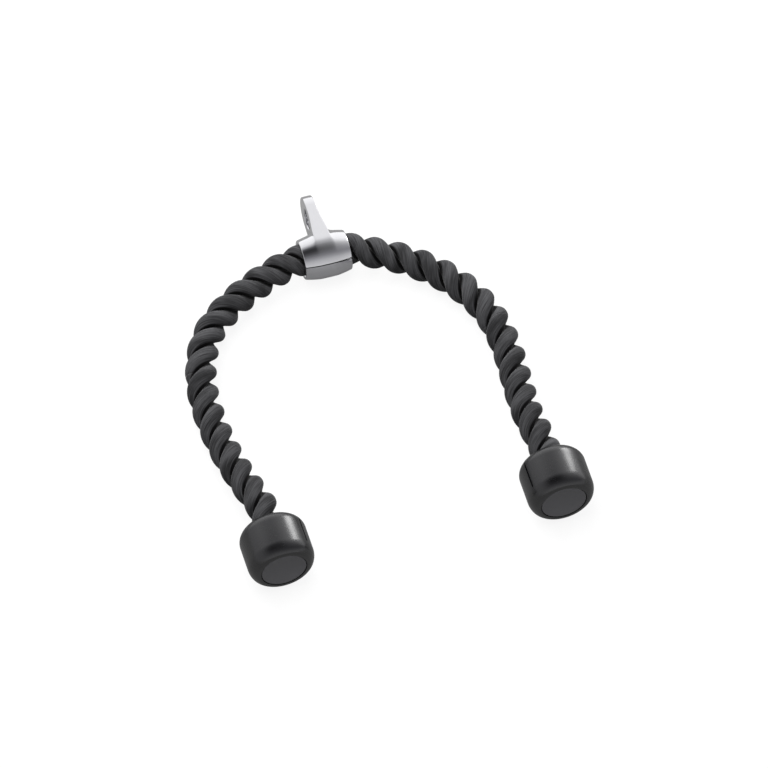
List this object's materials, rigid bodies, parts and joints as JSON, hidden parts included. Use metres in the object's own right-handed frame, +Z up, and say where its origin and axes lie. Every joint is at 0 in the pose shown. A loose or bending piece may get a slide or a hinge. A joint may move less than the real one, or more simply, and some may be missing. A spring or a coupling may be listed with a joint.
{
  "type": "triceps rope attachment",
  "caption": "Thick twisted rope held at its middle in a cast metal connector with an eyed lug, and a rubber knob on each end.",
  "frame": {"origin": "on the floor that it lies on, at the centre of the footprint of its metal and rubber parts", "axes": "+X towards the right knob, +Y from the knobs towards the lug, +Z up from the floor"},
  "size_m": [0.295, 0.3595, 0.0564],
  "materials": {
    "rope": "matt black laid polypropylene rope",
    "rubber": "satin moulded black rubber",
    "disc": "matt dark grey",
    "casting": "polished and chromed",
    "keeper": "satin",
    "screw": "black oxide",
    "ferrule": "plain, crimped",
    "washer": "zinc plated"
  },
  "bodies": {
    "connector": {"connector_body": "casting", "connector_keeper": "keeper", "lock_screw_left": "screw", "lock_screw_right": "screw", "rope_middle": "rope", "left_rope_root": "rope", "right_rope_root": "rope"},
    "left_upper_leg": {"left_rope_upper": "rope", "left_rope_bend": "rope"},
    "left_lower_leg": {"left_rope_lower": "rope", "left_rope_end": "rope", "left_knob": "rubber", "left_ferrule": "ferrule", "left_washer": "washer", "left_end_screw": "screw", "left_end_disc": "disc"},
    "right_upper_leg": {"right_rope_upper": "rope", "right_rope_bend": "rope"},
    "right_lower_leg": {"right_rope_lower": "rope", "right_rope_end": "rope", "right_knob": "rubber", "right_ferrule": "ferrule", "right_washer": "washer", "right_end_screw": "screw", "right_end_disc": "disc"}
  },
  "joints": [
    {"name": "left_leg_swing", "type": "hinge", "parent": "connector", "child": "left_upper_leg", "pos_m": [-0.05, 0.1134, 0.018], "axis": [0, 0, 1], "range_deg": [-50, 18], "stiffness_Nm_per_rad": 3, "deforming": ["left_rope_root"]},
    {"name": "left_leg_lift", "type": "hinge", "parent": "left_upper_leg", "child": "left_lower_leg", "pos_m": [-0.1334, -0.0037, 0.0148], "axis": [-1, 0.0047, 0], "range_deg": [-40, 40], "stiffness_Nm_per_rad": 8, "deforming": ["left_rope_bend"]},
    {"name": "right_leg_swing", "type": "hinge", "parent": "connector", "child": "right_upper_leg", "pos_m": [0.0514, 0.1075, 0.018], "axis": [0, 0, -1], "range_deg": [-50, 18], "stiffness_Nm_per_rad": 3, "deforming": ["right_rope_root"]},
    {"name": "right_leg_lift", "type": "hinge", "parent": "right_upper_leg", "child": "right_lower_leg", "pos_m": [0.1209, -0.0211, 0.0158], "axis": [-0.9985, 0.0541, 0], "range_deg": [-40, 40], "stiffness_Nm_per_rad": 8, "deforming": ["right_rope_bend"]}
  ]
}
